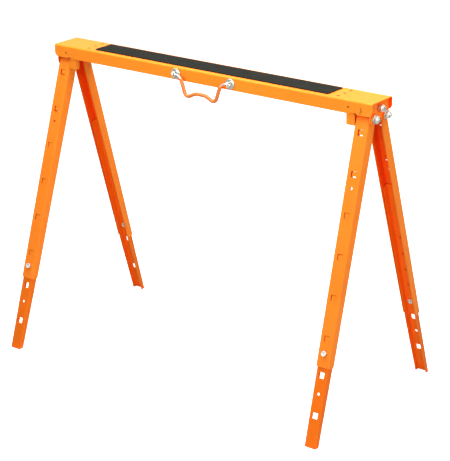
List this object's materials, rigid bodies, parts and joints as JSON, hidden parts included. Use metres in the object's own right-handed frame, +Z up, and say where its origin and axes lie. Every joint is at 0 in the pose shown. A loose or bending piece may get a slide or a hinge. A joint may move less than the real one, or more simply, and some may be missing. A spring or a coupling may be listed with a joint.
{
  "type": "sawhorse",
  "caption": "Folding steel sawhorse: channel beam with a non-slip strip, splayed telescoping legs on fold-under brackets, and a swinging carrying handle.",
  "frame": {"origin": "on the floor, under the middle of the beam and midway between the four feet", "axes": "+X along the beam towards its right end, +Y away from the handle side (the front faces -Y), +Z up"},
  "size_m": [1.0172, 0.542, 0.8133],
  "materials": {
    "orange_paint": "satin orange powder coat with faint orange peel on folded 2 mm sheet",
    "zinc": "bright zinc plate on bolts, nuts, washers, eye bolts and the bare ends of the handle rod",
    "grip_strip": "matt charcoal non-slip strip with a fine gritty face",
    "grip_sleeve": "matt orange soft sleeve over the handle rod"
  },
  "bodies": {
    "root": {"top_beam": "orange_paint", "non_slip_pad": "grip_strip", "fold_pin_right": "orange_paint", "fold_pin_left": "orange_paint", "handle_eye_right": "zinc", "handle_eye_left": "zinc", "handle_washer_right": "zinc", "handle_washer_left": "zinc", "handle_nut_right": "zinc", "handle_nut_left": "zinc"},
    "bracket_right": {"leg_bracket_right": "orange_paint", "bracket_tie_bolt_right": "zinc", "bracket_tie_nut_right": "zinc", "leg_pivot_bolt_front_right": "zinc", "leg_pivot_bolt_back_right": "zinc", "leg_pivot_washer_front_right": "zinc", "leg_pivot_washer_back_right": "zinc", "leg_pivot_nut_front_right": "zinc", "leg_pivot_nut_back_right": "zinc"},
    "leg_front_right": {"outer_leg_front_right": "orange_paint", "lock_bolt_front_right": "zinc", "lock_nut_front_right": "zinc"},
    "extension_front_right": {"leg_extension_front_right": "orange_paint"},
    "leg_back_right": {"outer_leg_back_right": "orange_paint", "lock_bolt_back_right": "zinc", "lock_nut_back_right": "zinc"},
    "extension_back_right": {"leg_extension_back_right": "orange_paint"},
    "bracket_left": {"leg_bracket_left": "orange_paint", "bracket_tie_bolt_left": "zinc", "bracket_tie_nut_left": "zinc", "leg_pivot_bolt_front_left": "zinc", "leg_pivot_bolt_back_left": "zinc", "leg_pivot_washer_front_left": "zinc", "leg_pivot_washer_back_left": "zinc", "leg_pivot_nut_front_left": "zinc", "leg_pivot_nut_back_left": "zinc"},
    "leg_front_left": {"outer_leg_front_left": "orange_paint", "lock_bolt_front_left": "zinc", "lock_nut_front_left": "zinc"},
    "extension_front_left": {"leg_extension_front_left": "orange_paint"},
    "leg_back_left": {"outer_leg_back_left": "orange_paint", "lock_bolt_back_left": "zinc", "lock_nut_back_left": "zinc"},
    "extension_back_left": {"leg_extension_back_left": "orange_paint"},
    "handle": {"handle_rod": "zinc", "handle_grip": "grip_sleeve"}
  },
  "joints": [
    {"name": "fold_right", "type": "hinge", "parent": "root", "child": "bracket_right", "pos_m": [0.444, 0, 0.783], "axis": [0, 1, 0], "range_deg": [0, 91.2]},
    {"name": "spread_front_right", "type": "hinge", "parent": "bracket_right", "child": "leg_front_right", "pos_m": [0.47055, -0.026, 0.76759], "axis": [0.9998, 0, 0.0223], "range_deg": [0, 16.9]},
    {"name": "height_front_right", "type": "slide", "parent": "leg_front_right", "child": "extension_front_right", "axis": [-0.0214, 0.2907, 0.9566], "range_m": [-0.15, 0.15], "stiffness_N_per_m": 40000},
    {"name": "spread_back_right", "type": "hinge", "parent": "bracket_right", "child": "leg_back_right", "pos_m": [0.47055, 0.026, 0.76759], "axis": [-0.9998, 0, -0.0223], "range_deg": [0, 16.9]},
    {"name": "height_back_right", "type": "slide", "parent": "leg_back_right", "child": "extension_back_right", "axis": [-0.0214, -0.2907, 0.9566], "range_m": [-0.15, 0.15], "stiffness_N_per_m": 40000},
    {"name": "fold_left", "type": "hinge", "parent": "root", "child": "bracket_left", "pos_m": [-0.444, 0, 0.783], "axis": [0, -1, 0], "range_deg": [0, 80]},
    {"name": "spread_front_left", "type": "hinge", "parent": "bracket_left", "child": "leg_front_left", "pos_m": [-0.47055, -0.026, 0.76759], "axis": [0.9998, 0, -0.0223], "range_deg": [0, 16.9]},
    {"name": "height_front_left", "type": "slide", "parent": "leg_front_left", "child": "extension_front_left", "axis": [0.0214, 0.2907, 0.9566], "range_m": [-0.15, 0.15], "stiffness_N_per_m": 40000},
    {"name": "spread_back_left", "type": "hinge", "parent": "bracket_left", "child": "leg_back_left", "pos_m": [-0.47055, 0.026, 0.76759], "axis": [-0.9998, 0, 0.0223], "range_deg": [0, 16.9]},
    {"name": "height_back_left", "type": "slide", "parent": "leg_back_left", "child": "extension_back_left", "axis": [0.0214, -0.2907, 0.9566], "range_m": [-0.15, 0.15], "stiffness_N_per_m": 40000},
    {"name": "handle_swing", "type": "hinge", "parent": "root", "child": "handle", "pos_m": [0, -0.0555, 0.793], "axis": [-1, 0, 0], "range_deg": [-8, 170]}
  ]
}
